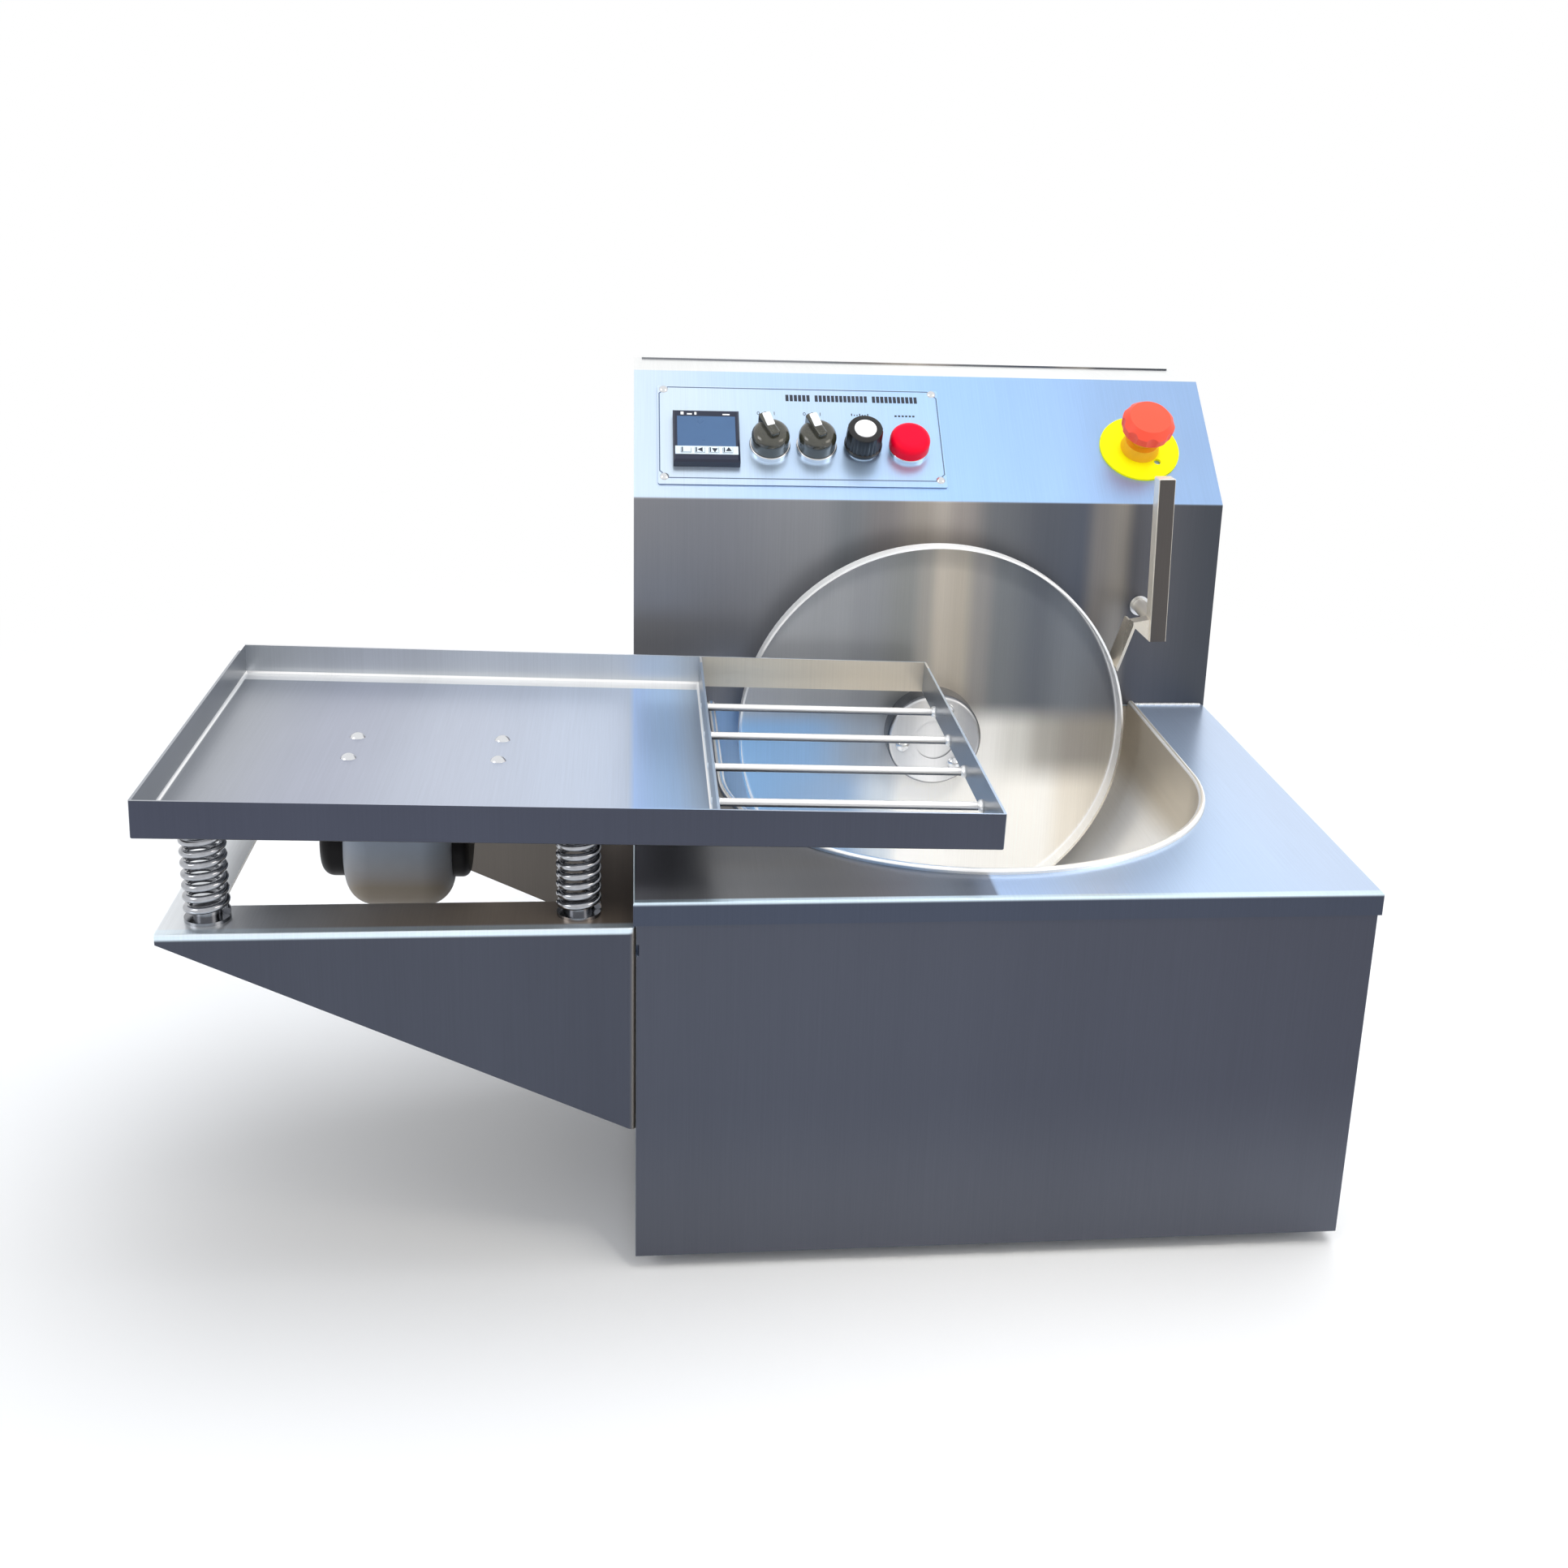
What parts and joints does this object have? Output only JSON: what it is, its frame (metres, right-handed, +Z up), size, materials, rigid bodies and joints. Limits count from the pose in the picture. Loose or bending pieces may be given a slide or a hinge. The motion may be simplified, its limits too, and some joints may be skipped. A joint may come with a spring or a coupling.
{
  "type": "chocolate tempering machine",
  "caption": "Stainless table-top machine with a heated bowl, an upright wheel, a scraper lever, a sloped control panel and a spring-mounted vibrating table at its left side.",
  "frame": {"origin": "centre of the bounding box's floor: the feet's underside, half way across the width and the depth", "axes": "+X to the operator's right along the width with the table on the -X side, +Y from the operator to the back, +Z up"},
  "size_m": [0.6919, 0.53, 0.4695],
  "materials": {
    "body_steel": "vertically brushed satin stainless sheet",
    "bowl_steel": "polished satin stainless",
    "wheel_steel": "polished satin stainless",
    "table_steel": "satin stainless sheet and wire",
    "bracket_steel": "satin stainless plate",
    "lever_steel": "satin stainless bar and sheet",
    "fastener_steel": "bright stainless fasteners and seats",
    "spring_steel": "bright zinc-plated spring wire",
    "plate_steel": "fine satin control plate",
    "cast_alloy": "painted cast alloy",
    "vibrator_cap": "dark painted pressed caps",
    "motor_paint": "dark blue-grey enamel",
    "rotor_steel": "machined steel",
    "black_plastic": "black moulded plastic",
    "controller_case": "dark navy moulded plastic",
    "display_tint": "slate tinted window",
    "key_plastic": "white moulded keys",
    "stop_red": "red moulded plastic",
    "lamp_red": "red translucent lens",
    "stop_yellow": "yellow moulded plastic",
    "stem_plastic": "amber moulded plastic",
    "foot_rubber": "black rubber",
    "heater_silicone": "orange silicone heating mat",
    "insulation_felt": "pale insulation felt",
    "supply_case": "perforated metal case"
  },
  "bodies": {
    "frame": {"front_panel": "body_steel", "left_side_panel": "body_steel", "right_side_panel": "body_steel", "deck": "body_steel", "hood_skin": "body_steel", "rear_cover": "body_steel", "base_plate": "body_steel", "bowl": "bowl_steel", "table_bracket": "bracket_steel", "scraper_stud": "lever_steel", "panel_collars": "fastener_steel", "cover_screws": "fastener_steel", "bracket_bolts": "fastener_steel", "control_plate_screws": "fastener_steel", "lower_spring_seats": "fastener_steel", "temperature_probe": "fastener_steel", "springs": "spring_steel", "control_plate": "plate_steel", "gearbox": "cast_alloy", "seal_housing": "cast_alloy", "drive_motor": "motor_paint", "switch_bodies": "black_plastic", "fan_frame": "black_plastic", "cable_gland": "black_plastic", "controller": "controller_case", "display_window": "display_tint", "power_lamp_lens": "lamp_red", "estop_disc": "stop_yellow", "estop_collar": "stop_yellow", "rubber_feet": "foot_rubber", "shaft_seal": "foot_rubber", "heater_mat": "heater_silicone", "bowl_insulation": "insulation_felt", "power_supply": "supply_case"},
    "fan": {"fan_rotor": "black_plastic"},
    "wheel_group": {"wheel": "wheel_steel", "wheel_hub": "wheel_steel", "hub_screws": "fastener_steel", "wheel_shaft": "wheel_steel"},
    "heating_selector": {"heating_knob": "black_plastic"},
    "vibration_selector": {"vibration_knob": "black_plastic"},
    "speed_dial": {"speed_knob": "black_plastic"},
    "key_1": {"controller_key_1": "key_plastic"},
    "key_2": {"controller_key_2": "key_plastic"},
    "key_3": {"controller_key_3": "key_plastic"},
    "key_4": {"controller_key_4": "key_plastic"},
    "stop_plunger": {"estop_stem": "stem_plastic"},
    "stop_head": {"estop_head": "stop_red"},
    "scraper": {"scraper_lever": "lever_steel", "scraper_blade": "lever_steel"},
    "table": {"tray_pan": "table_steel", "tray_grid_rods": "table_steel", "upper_spring_seats": "fastener_steel", "vibrator_housing": "cast_alloy", "vibrator_end_caps": "vibrator_cap", "vibrator_screws": "fastener_steel"},
    "vibrator_spinner": {"vibrator_rotor": "rotor_steel", "eccentric_weights": "rotor_steel"}
  },
  "joints": [
    {"name": "wheel_spin", "type": "hinge", "parent": "frame", "child": "wheel_group", "pos_m": [0.131, 0.052, 0.227], "axis": [0, 1, 0], "continuous": true},
    {"name": "table_bounce", "type": "slide", "parent": "frame", "child": "table", "axis": [0, 0, 1], "range_m": [-0.002, 0.002], "stiffness_N_per_m": 96000, "springref_m": 0.0003, "deforming": ["springs"]},
    {"name": "vibrator_spin", "type": "hinge", "parent": "table", "child": "vibrator_spinner", "pos_m": [-0.22529, -0.1185, 0.22025], "axis": [0.9997, 0, -0.0244], "continuous": true},
    {"name": "scraper_pivot", "type": "hinge", "parent": "frame", "child": "scraper", "pos_m": [0.289, 0.055, 0.314], "axis": [0, -1, 0], "range_deg": [0, 50]},
    {"name": "heating_turn", "type": "hinge", "parent": "frame", "child": "heating_selector", "pos_m": [0.014, 0.12161, 0.42104], "axis": [0, -0.6467, 0.7628], "range_deg": [-60, 0]},
    {"name": "vibration_turn", "type": "hinge", "parent": "frame", "child": "vibration_selector", "pos_m": [0.048, 0.12161, 0.42104], "axis": [0, -0.6467, 0.7628], "range_deg": [-60, 0]},
    {"name": "speed_turn", "type": "hinge", "parent": "frame", "child": "speed_dial", "pos_m": [0.082, 0.12161, 0.42104], "axis": [0, -0.6467, 0.7628], "range_deg": [-280, 0]},
    {"name": "stop_push", "type": "slide", "parent": "frame", "child": "stop_plunger", "axis": [0, 0.6467, -0.7628], "range_m": [0, 0.005], "stiffness_N_per_m": 1500, "springref_m": -0.005},
    {"name": "stop_twist", "type": "hinge", "parent": "stop_plunger", "child": "stop_head", "pos_m": [0.2905, 0.1085, 0.4427], "axis": [0, -0.6467, 0.7628], "range_deg": [-45, 0], "stiffness_Nm_per_rad": 0.05, "springref_deg": 5.73},
    {"name": "fan_spin", "type": "hinge", "parent": "frame", "child": "fan", "pos_m": [0.246, 0.233, 0.12], "axis": [0, 1, 0], "continuous": true},
    {"name": "key_1_press", "type": "slide", "parent": "frame", "child": "key_1", "axis": [0, 0.6467, -0.7628], "range_m": [0, 0.0006], "stiffness_N_per_m": 1500, "springref_m": -0.0008},
    {"name": "key_2_press", "type": "slide", "parent": "frame", "child": "key_2", "axis": [0, 0.6467, -0.7628], "range_m": [0, 0.0006], "stiffness_N_per_m": 1500, "springref_m": -0.0008},
    {"name": "key_3_press", "type": "slide", "parent": "frame", "child": "key_3", "axis": [0, 0.6467, -0.7628], "range_m": [0, 0.0006], "stiffness_N_per_m": 1500, "springref_m": -0.0008},
    {"name": "key_4_press", "type": "slide", "parent": "frame", "child": "key_4", "axis": [0, 0.6467, -0.7628], "range_m": [0, 0.0006], "stiffness_N_per_m": 1500, "springref_m": -0.0008}
  ]
}
